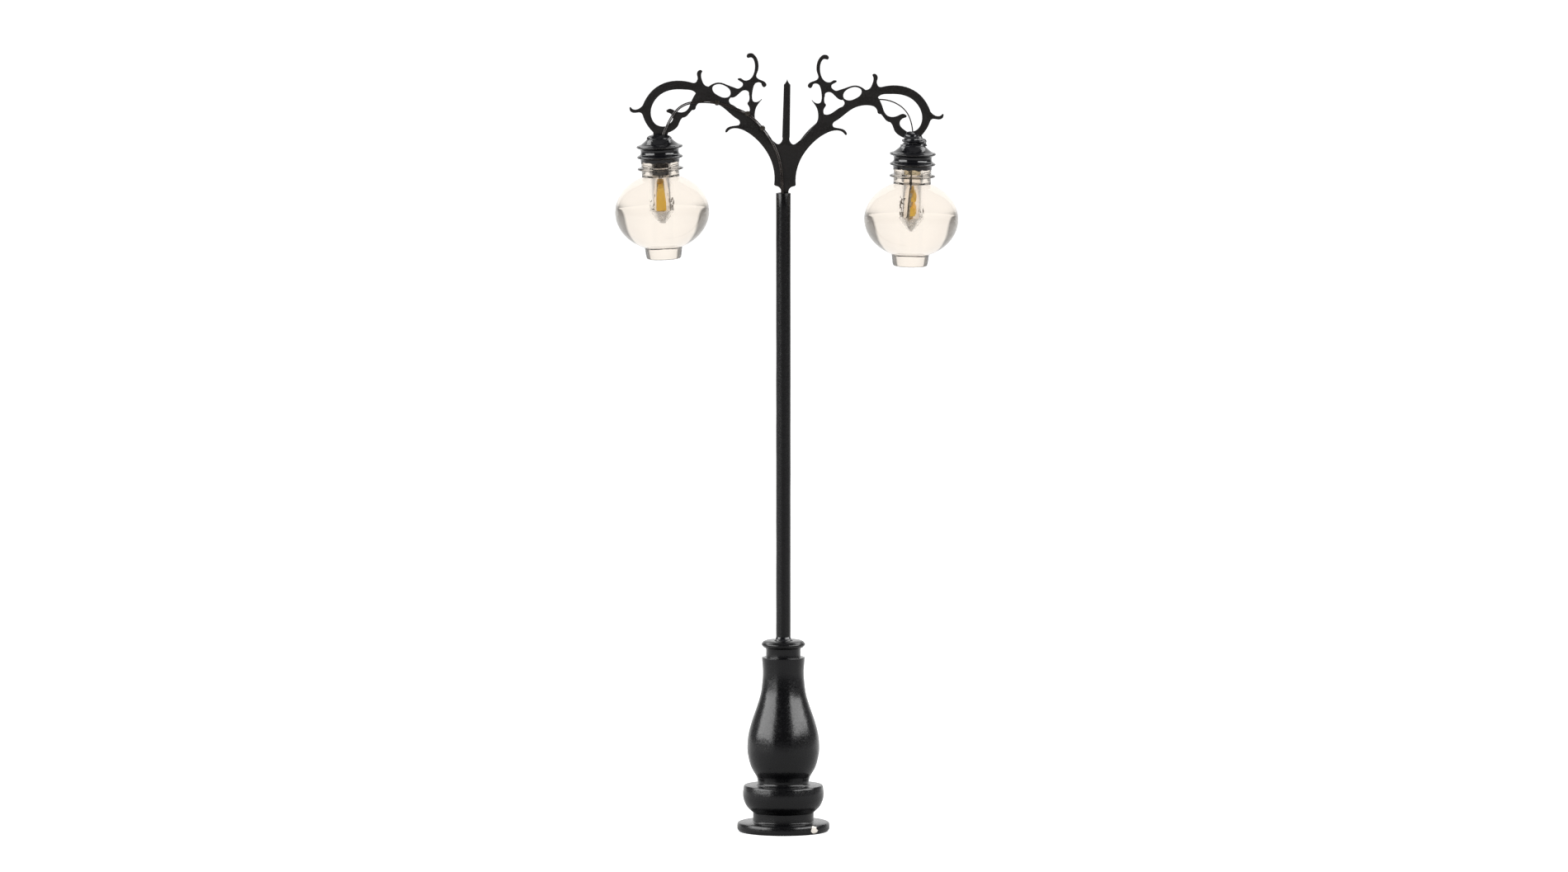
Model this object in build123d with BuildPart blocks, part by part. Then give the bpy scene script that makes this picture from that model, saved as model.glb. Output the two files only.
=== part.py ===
from build123d import *
import math
import os

# Miniature two-lamp street lamp post, about 1:87, millimetres.
# The origin is the middle of the base's underside, +Z is up, and the two lamps hang on the left (-X)
# and on the right (+X) of the flat arm plate.

# --- driving dimensions ---
pole_outer_r = 0.625
pole_inner_r = 0.425
pole_foot_z = 1.2            # the tube stands on the step in the base's bore
mouth_z = 54.44              # top of the tube, where the arm plate goes in

foot_r = 3.92                # base flange
foot_h = 0.8
bowl_r = 3.44                # ring above the flange
bowl_top_z = 3.95
vase_top_z = 14.86
collar_top_z = 16.3
outlet_r = 1.0               # recess under the base, where the leads come out
bore_r = pole_outer_r

plate_t = 0.3                # etched sheet
plate_lean = 1.25            # degrees, its right-hand side is the lower one
plate_shift = 0.12           # its middle line beside the tube's axis, at the mouth
tab_half = 0.25
tab_depth = 2.0              # how far the tab goes down the tube
plate_neck_half = 0.31       # its shoulders sit on the tube's mouth
foot_v = 4.1                 # how far up the plate its two feet end, inside the caps

lead_r = 0.055               # enamelled wire, two to a lead
lead_gap = 0.062             # from a lead's middle to each of its wires
lead_out = plate_t / 2 + 0.065   # from the plate's middle to the lead lying on its face
lead_end_z = 0.4             # the leads are cut short inside the recess
dab_r = 0.24                 # dabs of glue on the leads
dab_h = 0.17
led_length = 1.6
led_width = 0.8
led_board_t = 0.14
led_phosphor_t = 0.34

globe_r = 4.0                # solid moulded globe: across
globe_c = 3.28               # and half its height
globe_drop = 5.55            # its middle below the top ring
globe_bore_r = 0.72
globe_bore_depth = 5.55
globe_tip_depth = 6.12       # the bore's blunt end
globe_tip_r = 0.22
spigot_r = 1.3               # the globe's neck inside the cap
ring_r = 1.95
neck_r = 1.6
cap_bottom = 1.3             # below the top ring
cap_top = 0.8                # above the top ring
cap_hole_r = 0.78
knob_drop = 9.57

# each head: the middle of its top ring, how far its axis leans, how its lamp chip stands in the bore
# (drop below the top ring, shift across, turn and lean in degrees, middle and length of each dab of
# phosphor), and how far down the bore the glue runs
heads = {
    "left": {
        "x": -10.48, "z": 58.38, "lean": -2.2,
        "chip_drop": 4.95, "chip_shift": -0.08, "chip_turn": 8, "chip_lean": 0,
        "phosphor": [(0, 1.28)], "glue_depth": 2.4,
    },
    "right": {
        "x": 10.97, "z": 57.76, "lean": 1.4,
        "chip_drop": 4.95, "chip_shift": 0, "chip_turn": 68, "chip_lean": 4.5,
        "phosphor": [(-0.3, 0.42), (0.32, 0.22)], "glue_depth": 1.9,
    },
}

os.makedirs("parts", exist_ok=True)


def save(part, name):
    """Labels a finished piece and writes it."""
    part.label = name
    export_step(part, f"parts/{name}.step")


# the plate's own plane: x along the sheet, y up it, z out of its front face
lean = math.radians(plate_lean)
plate_plane = Plane(
    origin=(plate_shift, 0, mouth_z),
    x_dir=(math.cos(lean), 0, -math.sin(lean)),
    z_dir=(0, -1, 0),
)


def head_plane(side):
    """A head's own plane: z up its axis, origin in the middle of its top ring."""
    tilt = math.radians(heads[side]["lean"])
    return Plane(
        origin=(heads[side]["x"], 0, heads[side]["z"]),
        x_dir=(math.cos(tilt), 0, -math.sin(tilt)),
        z_dir=(math.sin(tilt), 0, math.cos(tilt)),
    )


# --- base: one turned piece ---
# each stretch of the turned outline runs from the last point of the one before
vase_side = [
    (2.27, 4.66), (2.74, 5.5), (2.99, 6.4), (3.07, 7.2), (2.97, 8.3), (2.67, 9.45),
    (2.27, 10.6), (1.94, 11.7), (1.79, 12.8), (1.75, 13.7), (1.83, vase_top_z),
]
bowl_side = [(2.58, 1.6), (3.1, 2.12), (3.37, 2.7), (bowl_r, 3.25), (3.37, 3.85)]
with BuildPart() as base:
    with BuildSketch(Plane.XZ) as base_section:
        with BuildLine():
            Polyline((outlet_r, 0), (foot_r - 0.14, 0), (foot_r, 0.22), (foot_r, foot_h - 0.2))
            ThreePointArc((foot_r, foot_h - 0.2), (foot_r - 0.06, foot_h - 0.06), (foot_r - 0.2, foot_h))
            Polyline((foot_r - 0.2, foot_h), (2.66, foot_h), (2.58, foot_h + 0.1), bowl_side[0])
            Spline(*bowl_side)
            Polyline(bowl_side[-1], (3.3, bowl_top_z), (2.34, bowl_top_z), (2.27, bowl_top_z + 0.1), vase_side[0])
            Spline(*vase_side)
            Polyline(vase_side[-1], (1.47, vase_top_z), (1.47, 15.5))
            ThreePointArc((1.47, 15.5), (1.53, 15.66), (1.7, 15.74))
            ThreePointArc((1.7, 15.74), (1.86, 15.98), (1.7, 16.22))
            Polyline((1.7, 16.22), (1.5, collar_top_z), (bore_r, collar_top_z), (bore_r, pole_foot_z))
            Polyline((bore_r, pole_foot_z), (outlet_r, pole_foot_z), (outlet_r, 0))
        make_face()
    revolve(axis=Axis.Z)
save(base.part, "base")

# --- pole: a plain drawn tube ---
with BuildPart() as pole:
    with BuildSketch(Plane.XY.offset(pole_foot_z)):
        Circle(pole_outer_r)
        Circle(pole_inner_r, mode=Mode.SUBTRACT)
    extrude(amount=mouth_z - pole_foot_z)
save(pole.part, "pole")

# --- arm plate: one etched sheet, its two arms mirror images of each other ---
# the half outline runs from the tab's foot round the right-hand arm to the spike's point,
# one curve from each corner to the next
half_outline = [
    [(0, -tab_depth), (tab_half, -tab_depth)],
    [(tab_half, -tab_depth), (tab_half, 0.02)],
    [(tab_half, 0.02), (plate_neck_half, 0.02)],
    [(plate_neck_half, 0.02), (plate_neck_half, 0.1)],
    # notch and the arm's lower edge
    [(plate_neck_half, 0.1), (0.44, 0.42), (0.8, 0.58)],
    [(0.8, 0.58), (0.92, 0.68)],
    [(0.92, 0.68), (0.97, 1.9), (1.25, 2.8), (2.1, 4.1), (3.35, 5.12), (4.2, 5.4), (4.7, 5.32), (4.98, 5.06)],
    # lower thorn
    [(4.98, 5.06), (5.12, 5.04), (5.15, 5.18)],
    [(5.15, 5.18), (4.88, 5.48), (4.4, 5.6), (4.05, 5.66)],
    [(4.05, 5.66), (3.93, 5.85), (4.08, 6.14)],
    [(4.08, 6.14), (4.8, 6.66), (5.6, 7.28), (6.2, 7.52), (7.2, 7.56)],
    # lower leaf, in steps down to the foot
    [(7.2, 7.56), (7.5, 7.42), (7.68, 7.14)],
    [(7.68, 7.14), (7.76, 6.92), (7.98, 6.87)],
    [(7.98, 6.87), (8.14, 6.7), (8.36, 6.42), (8.78, 6.2)],
    [(8.78, 6.2), (8.98, 5.94), (9.16, 5.5), (9.6, 5.08), (9.98, 4.9)],
    [(9.98, 4.9), (10.25, foot_v)],
    [(10.25, foot_v), (11.2, foot_v)],
    [(11.2, foot_v), (11.25, 4.9)],
    [(11.25, 4.9), (11.66, 5.35), (12.0, 5.9), (12.18, 6.36)],
    # outer thorn
    [(12.18, 6.36), (12.42, 6.56), (12.86, 6.52), (13.16, 6.6), (13.3, 6.86)],
    [(13.3, 6.86), (13.27, 7.0), (13.16, 6.97)],
    [(13.16, 6.97), (12.98, 6.82), (12.76, 6.8), (12.46, 6.92), (12.2, 7.16)],
    # great scroll, outside
    [(12.2, 7.16), (11.98, 7.66), (11.2, 8.64), (9.9, 9.26), (8.9, 9.33), (8.1, 9.2)],
    # crocket
    [(8.1, 9.2), (7.78, 9.2), (7.63, 9.42)],
    [(7.63, 9.42), (7.6, 9.66), (7.66, 9.94), (7.56, 10.2), (7.36, 10.28), (7.18, 10.17)],
    [(7.18, 10.17), (7.28, 9.96), (7.22, 9.46), (6.98, 9.02), (6.64, 8.89)],
    # strap over the eye
    [(6.64, 8.89), (6.3, 9.12), (5.84, 9.25), (5.4, 9.19), (4.9, 9.0), (4.5, 8.87), (4.18, 8.77), (3.94, 8.87)],
    [(3.94, 8.87), (3.76, 9.08), (3.78, 9.27)],
    # side twig and top curl
    [(3.78, 9.27), (3.98, 9.4), (4.16, 9.5)],
    [(4.16, 9.5), (4.2, 9.6), (4.06, 9.65)],
    [(4.06, 9.65), (3.88, 9.63), (3.68, 9.5), (3.36, 9.49), (3.05, 9.7), (2.84, 10.1), (2.76, 10.6),
     (2.82, 11.1), (3.02, 11.41), (3.26, 11.41)],
    [(3.26, 11.41), (3.47, 11.48), (3.46, 11.66), (3.2, 11.8), (2.86, 11.7)],
    [(2.86, 11.7), (2.58, 11.34), (2.45, 10.8), (2.5, 10.3), (2.62, 9.88), (2.48, 9.66)],
    # inner twig with its round end
    [(2.48, 9.66), (2.2, 9.53), (1.94, 9.42), (1.77, 9.24)],
    [(1.77, 9.24), (1.8, 9.02), (1.98, 8.94), (2.12, 9.06), (2.18, 9.25)],
    [(2.18, 9.25), (2.4, 9.34), (2.66, 9.26), (2.82, 9.0), (2.92, 8.5), (2.94, 8.05), (2.87, 7.76)],
    # inner thorn
    [(2.87, 7.76), (2.68, 7.66), (2.4, 7.72), (2.14, 7.95)],
    [(2.14, 7.95), (2.1, 7.9)],
    [(2.1, 7.9), (2.34, 7.6), (2.57, 7.22), (2.67, 6.8), (2.66, 6.3), (2.5, 5.95)],
    # the arm's upper edge, down to the spike
    [(2.5, 5.95), (2.0, 5.38), (1.4, 4.68), (1.0, 4.34), (0.62, 4.13), (0.4, 4.3), (0.32, 4.75)],
    [(0.32, 4.75), (0.28, 9.2)],
    [(0.28, 9.2), (0.11, 9.4), (0, 9.7)],
    [(0, 9.7), (0, -tab_depth)],
]
eye_hole = [
    [(4.78, 8.3), (4.86, 8.66), (5.3, 9.0), (5.86, 9.11), (6.3, 8.84), (6.24, 8.5), (5.8, 8.14), (5.36, 7.98),
     (4.94, 8.06), (4.78, 8.3)],
]
heart_hole = [
    [(3.22, 8.3), (3.3, 8.56), (3.6, 8.64), (4.1, 8.3), (4.74, 8.0)],
    [(4.74, 8.0), (4.88, 7.8), (4.7, 7.42)],
    [(4.7, 7.42), (4.1, 7.06), (3.42, 6.72), (3.18, 6.76)],
    [(3.18, 6.76), (3.13, 7.1), (3.28, 7.4)],
    [(3.28, 7.4), (3.33, 7.55), (3.22, 7.7)],
    [(3.22, 7.7), (3.17, 8.0), (3.22, 8.3)],
]
scroll_hole = [
    [(7.72, 8.3), (7.9, 8.46), (8.6, 8.59), (9.5, 8.58), (10.5, 8.26), (11.2, 7.56), (11.48, 6.76),
     (11.36, 6.0), (11.0, 5.56)],
    [(11.0, 5.56), (10.6, 5.42), (10.2, 5.44)],
    [(10.2, 5.44), (9.87, 5.68), (9.64, 5.96), (9.62, 6.26), (9.8, 6.5), (10.1, 6.62)],
    [(10.1, 6.62), (10.18, 6.76), (10.06, 6.87)],
    [(10.06, 6.87), (9.8, 6.93), (9.5, 6.8), (9.1, 6.66), (8.66, 6.7), (8.32, 7.0), (8.12, 7.5),
     (7.92, 7.96), (7.72, 8.3)],
]


def draw(stretches):
    """Draws an outline inside a BuildLine: a line for two points, a curve for more."""
    for stretch in stretches:
        if len(stretch) == 2:
            Line(*stretch)
        else:
            Spline(*stretch)


with BuildPart() as arm_plate:
    with BuildSketch(plate_plane):
        with BuildLine():
            draw(half_outline)
        make_face()
        for hole in (eye_hole, heart_hole, scroll_hole):
            with BuildLine():
                draw(hole)
            make_face(mode=Mode.SUBTRACT)
        mirror(about=Plane.YZ)
    extrude(amount=plate_t / 2, both=True)
save(arm_plate.part, "arm_plate")

# --- leads: two enamelled wires to each lamp, from the base up the tube and along the plate ---
# where each lead runs on the plate, from the mouth out to the lamp; the left one lies on the front
# face and the right one on the back
lead_runs = {
    "left": [
        (-0.22, 0.6), (-0.32, 1.9), (-0.64, 3.3), (-1.27, 4.5), (-2.0, 5.46), (-2.6, 6.1), (-3.3, 6.66),
        (-4.15, 7.02), (-5.05, 7.32), (-6.0, 7.55), (-7.0, 7.62), (-7.9, 7.54), (-8.56, 7.38), (-9.14, 7.02),
        (-9.58, 6.48), (-9.93, 5.84), (-10.18, 5.25),
    ],
    "right": [
        (0.2, 0.6), (0.32, 1.9), (0.64, 3.26), (1.26, 4.42), (1.93, 5.26), (2.58, 5.88), (3.4, 6.46),
        (4.5, 7.06), (5.6, 7.66), (6.8, 8.0), (7.7, 8.1), (8.45, 8.07), (9.12, 7.87), (9.72, 7.53),
        (10.16, 7.1), (10.46, 6.56), (10.64, 5.95), (10.72, 5.4),
    ],
}
lead_face = {"left": 1, "right": -1}         # front or back of the plate
# how far out a lead starts to roll over and where its two wires lie one behind the other
lead_rolls = {"left": (20, 21), "right": (5.0, 7.7)}
# the way down inside each head, in the head's own plane; b goes on down past the lamp chip
lead_drops = {
    "left_a": [(0.27, -0.215, 1.0), (0.2, -0.215, 0.3), (0.0, -0.1, -1.6)],
    "left_b": [(0.39, -0.215, 1.0), (0.36, -0.215, 0.3), (0.24, -0.1, -1.6)],
    "right_a": [(0.0, 0.215, 1.3), (0.02, 0.215, 0.3), (-0.06, 0.1, -1.6)],
    "right_b": [(0.0, 0.339, 1.3), (-0.1, 0.3, 0.3), (-0.18, 0.1, -1.6)],
}
# where each wire meets the lamp chip, in the chip's own turned frame
chip_spots = {
    "left_a": (-0.1, 0.24),
    "left_b": (0.14, 0.24),
    "right_a": (0.1, 0.24),
    "right_b": (-0.15, 0.24),
}


def chip_point(side, x, y, z):
    """A point given in the chip's own frame: x across it, y out of its back, z up from its middle."""
    turn = math.radians(heads[side]["chip_turn"])
    chip_lean = math.radians(heads[side]["chip_lean"])
    across = x * math.cos(turn) - y * math.sin(turn)
    back = x * math.sin(turn) + y * math.cos(turn)
    local = Vector(
        across * math.cos(chip_lean) + z * math.sin(chip_lean) + heads[side]["chip_shift"],
        back,
        z * math.cos(chip_lean) - across * math.sin(chip_lean) - heads[side]["chip_drop"],
    )
    return head_plane(side).from_local_coords(local)


def wire_route(side, wire):
    """The points of one wire: the lead's points moved half a lead to one side, or out where it rolls."""
    face = lead_face[side]
    sign = {"left_a": -1, "left_b": 1, "right_a": 1, "right_b": -1}[f"{side}_{wire}"]
    tube_x = -0.09 * face - sign * lead_gap
    route = [Vector(tube_x, -0.24 * face, lead_end_z), Vector(tube_x, -0.24 * face, mouth_z - 1.2)]
    run = lead_runs[side]
    roll_start, roll_end = lead_rolls[side]
    for index, (u, v) in enumerate(run):
        before = run[max(index - 1, 0)]
        after = run[min(index + 1, len(run) - 1)]
        along = Vector(after[0] - before[0], after[1] - before[1]).normalized()
        roll = math.radians(90) * min(max((abs(u) - roll_start) / (roll_end - roll_start), 0), 1)
        offset = sign * lead_gap * math.cos(roll)
        out = lead_out + (1 - sign) * lead_gap * math.sin(roll)
        route.append(
            plate_plane.from_local_coords(Vector(u - along.Y * offset, v + along.X * offset, face * out))
        )
    for spot in lead_drops[f"{side}_{wire}"]:
        route.append(head_plane(side).from_local_coords(Vector(*spot)))
    spot = chip_spots[f"{side}_{wire}"]
    end_z = 0.7 if wire == "a" else -0.7
    route.append(chip_point(side, *spot, 1.3))
    route.append(chip_point(side, *spot, end_z))
    return route


def corner_radii(route):
    """The largest arc that each corner's two runs have room for."""
    radii = []
    for before, corner, after in zip(route, route[1:], route[2:]):
        shorter = min((corner - before).length, (after - corner).length)
        turn = math.radians((corner - before).get_angle(after - corner))
        radii.append(min(0.45 * shorter / math.tan(turn / 2), 400))
    return radii


leads = {}
for side in heads:
    for wire in ("a", "b"):
        route = wire_route(side, wire)
        radii = corner_radii(route)
        with BuildPart() as lead:
            with BuildLine() as path:
                FilletPolyline(*route, radius=radii)
            with BuildSketch(Plane(origin=path.line @ 0, z_dir=path.line % 0)):
                Circle(lead_r)
            sweep(path=path.line)
        leads[f"{side}_{wire}"] = lead.part
        save(lead.part, f"lead_{side}_{wire}")
        length = path.wires()[0].length
        drawn = lead.part.volume / (math.pi * lead_r**2 * length)
        print(f"lead_{side}_{wire}: {length:.1f} long, smallest arc {min(radii):.2f}, volume ratio {drawn:.4f}")

# --- glue where the plate's tab and the four wires meet the tube's mouth ---
with BuildPart() as mouth_glue:
    with BuildSketch(Plane.XY.offset(mouth_z - 1.6)):
        Circle(pole_inner_r)
    extrude(amount=1.55)
    add(arm_plate.part, mode=Mode.SUBTRACT)
    for lead_part in leads.values():
        add(lead_part, mode=Mode.SUBTRACT)
save(mouth_glue.part, "mouth_glue")

# --- fillet of glue where the tube stands in the base's collar ---
with BuildPart() as foot_glue:
    with BuildSketch(Plane.XZ):
        with BuildLine():
            Polyline((pole_outer_r, collar_top_z), (0.78, collar_top_z), (0.76, collar_top_z + 0.08))
            Line((0.76, collar_top_z + 0.08), (pole_outer_r, collar_top_z + 0.3))
            Line((pole_outer_r, collar_top_z + 0.3), (pole_outer_r, collar_top_z))
        make_face()
    revolve(axis=Axis.Z)
save(foot_glue.part, "foot_glue")

# --- the two heads ---
# the globe's outline meets its two necks at this angle round its ellipse
neck_angle = math.degrees(math.acos(neck_r / globe_r))
neck_rise = globe_c * math.sin(math.radians(neck_angle))
lump = {
    "left": [(0.9, cap_top + 0.05), (0.86, cap_top + 0.2), (0.7, cap_top + 0.36), (0.3, cap_top + 0.45)],
    "right": [(0.98, cap_top + 0.1), (0.84, cap_top + 0.5), (0.7, cap_top + 0.85), (0.3, cap_top + 1.02)],
}
# where the lead is stuck to its arm, on the plate
glue_spots = {
    "left": [(-2.0, 5.46), (-3.3, 6.66), (-5.9, 7.53)],
    "right": [(0.64, 3.26), (3.4, 6.46), (6.8, 8.0)],
}

for side in heads:
    hang = head_plane(side)
    section = Plane(origin=hang.origin, x_dir=hang.x_dir, z_dir=(0, -1, 0))
    axle = Axis(hang.origin, hang.z_dir)
    wire_a = leads[f"{side}_a"]
    wire_b = leads[f"{side}_b"]

    # cap: a black ringed shell over the globe's spigot
    with BuildPart() as cap:
        with BuildSketch(section):
            with BuildLine():
                Line((cap_hole_r, cap_top), (0.95, cap_top))
                Spline((0.95, cap_top), (1.18, 0.52), (1.6, 0.2), (1.93, 0.1))
                ThreePointArc((1.93, 0.1), (ring_r + 0.02, 0), (1.93, -0.1))
                Polyline((1.93, -0.1), (1.63, -0.18), (1.63, -0.7), (1.92, -0.8))
                ThreePointArc((1.92, -0.8), (ring_r, -0.87), (1.92, -0.94))
                Polyline((1.92, -0.94), (1.66, -1.04), (1.66, -cap_bottom), (spigot_r, -cap_bottom))
                Polyline((spigot_r, -cap_bottom), (spigot_r, 0.1), (cap_hole_r, 0.1), (cap_hole_r, cap_top))
            make_face()
        revolve(axis=axle)
    save(cap.part, f"cap_{side}")

    # globe: one solid clear moulding with a ringed neck, a knob below and a blind bore for the chip
    with BuildPart() as globe:
        with BuildSketch(section):
            with BuildLine():
                Polyline((globe_bore_r, 0.1), (spigot_r, 0.1), (spigot_r, -cap_bottom), (neck_r, -cap_bottom))
                Polyline((neck_r, -cap_bottom), (neck_r, -1.7), (1.92, -1.8))
                ThreePointArc((1.92, -1.8), (ring_r, -1.87), (1.92, -1.94))
                Polyline((1.92, -1.94), (neck_r, -2.04), (neck_r, neck_rise - globe_drop))
                EllipticalCenterArc((0, -globe_drop), globe_r, globe_c, -neck_angle, arc_size=2 * neck_angle)
                Polyline((neck_r, -neck_rise - globe_drop), (1.5, -knob_drop + 0.25))
                ThreePointArc((1.5, -knob_drop + 0.25), (1.42, -knob_drop + 0.07), (1.25, -knob_drop))
                Polyline((1.25, -knob_drop), (0, -knob_drop), (0, -globe_tip_depth))
                Polyline((0, -globe_tip_depth), (globe_tip_r, 0.06 - globe_tip_depth))
                Polyline((globe_tip_r, 0.06 - globe_tip_depth), (globe_bore_r, -globe_bore_depth))
                Line((globe_bore_r, -globe_bore_depth), (globe_bore_r, 0.1))
            make_face()
        revolve(axis=axle)
    save(globe.part, f"globe_{side}")

    # lump of glue that holds the plate's foot and the lead in the cap
    with BuildPart() as cap_glue:
        with BuildSketch(section):
            with BuildLine():
                Polyline((0, 0.1), (cap_hole_r, 0.1), (cap_hole_r, cap_top), (0.9, cap_top), lump[side][0])
                Spline(*lump[side])
                Polyline(lump[side][-1], (0, lump[side][-1][1]), (0, 0.1))
            make_face()
        revolve(axis=axle)
        add(arm_plate.part, mode=Mode.SUBTRACT)
        add(wire_a, mode=Mode.SUBTRACT)
        add(wire_b, mode=Mode.SUBTRACT)
    save(cap_glue.part, f"cap_glue_{side}")

    # glue that seals the bore above the chip
    with BuildPart() as bore_glue:
        glue_depth = heads[side]["glue_depth"]
        with BuildSketch(Plane(origin=hang.from_local_coords(Vector(0, 0, -glue_depth)), z_dir=hang.z_dir)):
            Circle(globe_bore_r)
        extrude(amount=glue_depth + 0.1)
        add(wire_a, mode=Mode.SUBTRACT)
        add(wire_b, mode=Mode.SUBTRACT)
    save(bore_glue.part, f"bore_glue_{side}")

    # lamp chip: its own plane has x across the chip and z out of its front
    front_point = chip_point(side, 0, -1, 0) - chip_point(side, 0, 0, 0)
    across_point = chip_point(side, 1, 0, 0) - chip_point(side, 0, 0, 0)
    chip = Plane(origin=chip_point(side, 0, 0, 0), x_dir=across_point, z_dir=front_point)
    with BuildPart() as led_board:
        with BuildSketch(chip.offset(-led_board_t / 2)):
            Rectangle(led_width, led_length - 0.1)
        extrude(amount=led_board_t)
    save(led_board.part, f"led_board_{side}")

    with BuildPart() as led_phosphor:
        with BuildSketch(chip.offset(led_board_t / 2)):
            for middle, length in heads[side]["phosphor"]:
                with Locations((0, middle)):
                    Rectangle(led_width, length)
        extrude(amount=led_phosphor_t, taper=6)
    save(led_phosphor.part, f"led_phosphor_{side}")

    # a plated cap round each end of the board
    with BuildPart() as led_terminals:
        with BuildSketch(chip.offset(-led_board_t / 2 - 0.03)):
            with Locations((0, led_length / 2 - 0.07), (0, -led_length / 2 + 0.07)):
                Rectangle(led_width, 0.14)
        extrude(amount=led_board_t + 0.06)
        add(led_board.part, mode=Mode.SUBTRACT)
    save(led_terminals.part, f"led_terminals_{side}")

    # a bead of solder from each wire to its terminal
    with BuildPart() as led_solder:
        for wire, end_z in (("a", 0.7), ("b", -0.7)):
            x, y = chip_spots[f"{side}_{wire}"]
            with Locations(Pos(chip_point(side, x * 0.92, y * 0.86, end_z))):
                Sphere(0.17)
        for piece in (led_board.part, led_terminals.part, led_phosphor.part, wire_a, wire_b):
            add(piece, mode=Mode.SUBTRACT)
    save(led_solder.part, f"led_solder_{side}")

    # dabs of glue that hold the lead on its arm
    face = lead_face[side]
    with BuildPart() as lead_glue:
        for u, v in glue_spots[side]:
            dab_plane = Plane(
                origin=plate_plane.from_local_coords(Vector(u, v, face * plate_t / 2)),
                x_dir=plate_plane.x_dir,
                z_dir=(0, -face, 0),
            )
            with BuildSketch(dab_plane):
                Circle(dab_r)
            extrude(amount=dab_h, taper=20)
        add(wire_a, mode=Mode.SUBTRACT)
        add(wire_b, mode=Mode.SUBTRACT)
    save(lead_glue.part, f"lead_glue_{side}")
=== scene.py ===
import bpy
import bmesh
import math
from mathutils import Matrix, Vector, noise
from mathutils.geometry import interpolate_bezier


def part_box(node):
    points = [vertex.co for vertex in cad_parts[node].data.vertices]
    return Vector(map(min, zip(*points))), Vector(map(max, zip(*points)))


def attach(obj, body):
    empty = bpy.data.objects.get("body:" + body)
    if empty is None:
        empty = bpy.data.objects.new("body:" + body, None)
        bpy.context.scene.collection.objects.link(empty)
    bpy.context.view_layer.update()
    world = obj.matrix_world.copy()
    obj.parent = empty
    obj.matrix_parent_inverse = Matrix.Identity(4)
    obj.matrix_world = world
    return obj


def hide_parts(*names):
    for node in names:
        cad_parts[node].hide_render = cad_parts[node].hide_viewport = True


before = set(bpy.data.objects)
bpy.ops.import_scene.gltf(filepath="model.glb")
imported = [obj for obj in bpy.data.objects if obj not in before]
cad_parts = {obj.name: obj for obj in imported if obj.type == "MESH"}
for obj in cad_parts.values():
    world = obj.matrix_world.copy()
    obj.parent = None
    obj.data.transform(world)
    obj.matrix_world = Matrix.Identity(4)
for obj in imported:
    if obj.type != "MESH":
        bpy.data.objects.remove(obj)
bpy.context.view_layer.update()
mm = 0.001  # every outline below is in millimetres, the scene in metres
print("frame loaded:", len(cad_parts), "nodes")


def colour(hexCode):
    channels = [int(hexCode[i:i + 2], 16) / 255 for i in (1, 3, 5)]
    linear = [c / 12.92 if c <= 0.04045 else ((c + 0.055) / 1.055) ** 2.4 for c in channels]
    return (*linear, 1.0)


def addNode(tree, kind, settings=None, inputs=None):
    node = tree.nodes.new(kind)
    for name, value in (settings or {}).items():
        setattr(node, name, value)
    for name, value in (inputs or {}).items():
        if isinstance(value, bpy.types.NodeSocket):
            tree.links.new(value, node.inputs[name])
        else:
            node.inputs[name].default_value = value
    return node


def perMm(size):
    return 1 / (size * mm)  # texture scale that gives features of this many millimetres


def newMaterial(name):
    material = bpy.data.materials.new(name)
    material.use_nodes = True
    tree = material.node_tree
    tree.nodes.clear()
    shader = addNode(tree, "ShaderNodeBsdfPrincipled")
    addNode(tree, "ShaderNodeOutputMaterial", inputs={"Surface": shader.outputs[0]})
    where = addNode(tree, "ShaderNodeTexCoord").outputs["Object"]
    return material, tree, shader, where


def smoothRun(points, steps=7):
    # a curve through the points, like a drawn spline
    points = [Vector((*p, 0)) for p in points]
    before = [points[0] * 2 - points[1]] + points[:-1]
    after = points[1:] + [points[-1] * 2 - points[-2]]
    slopes = [(b - a) / 6 for a, b in zip(before, after)]
    run = [points[0]]
    for i in range(len(points) - 1):
        run += interpolate_bezier(points[i], points[i] + slopes[i], points[i + 1] - slopes[i + 1],
                                  points[i + 1], steps + 1)[1:]
    return [(p.x, p.y) for p in run]


def outline(stretches):
    # joins stretches of (radius, height): two points are a straight, more are a curve
    points = []
    for stretch in stretches:
        run = stretch if len(stretch) == 2 else smoothRun(stretch)
        points += [p for p in run if not points or (Vector(p) - Vector(points[-1])).length > 1e-4]
    return points


def turned(points, steps=96, closed=False):
    # spins an outline round Z
    bm = bmesh.new()
    verts = [bm.verts.new((r, 0, z)) for r, z in points]
    edges = [bm.edges.new(pair) for pair in zip(verts, verts[1:])]
    if closed:
        edges.append(bm.edges.new((verts[-1], verts[0])))
    bmesh.ops.spin(bm, geom=verts + edges, cent=(0, 0, 0), axis=(0, 0, 1), angle=math.tau,
                   steps=steps, use_merge=True)
    bmesh.ops.remove_doubles(bm, verts=bm.verts, dist=1e-5)
    return bm


def lumpy(bm, height, grain, seed, keep=None):
    # pushes the surface in and out by slow noise
    bm.normal_update()
    for v in bm.verts:
        push = noise.noise(v.co / grain + Vector((seed, seed * 2.7, -seed)))
        v.co += v.normal * push * height * (keep(v.co) if keep else 1)


def finishPiece(name, bm, material, replaced, place, bevel=None, angle=28):
    bmesh.ops.transform(bm, matrix=place @ Matrix.Scale(mm, 4), verts=bm.verts)
    bmesh.ops.recalc_face_normals(bm, faces=bm.faces)
    mesh = bpy.data.meshes.new(name)
    bm.to_mesh(mesh)
    bm.free()
    piece = bpy.data.objects.new(name, mesh)
    bpy.context.scene.collection.objects.link(piece)
    return dress(piece, material, replaced, bevel, angle)


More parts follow.
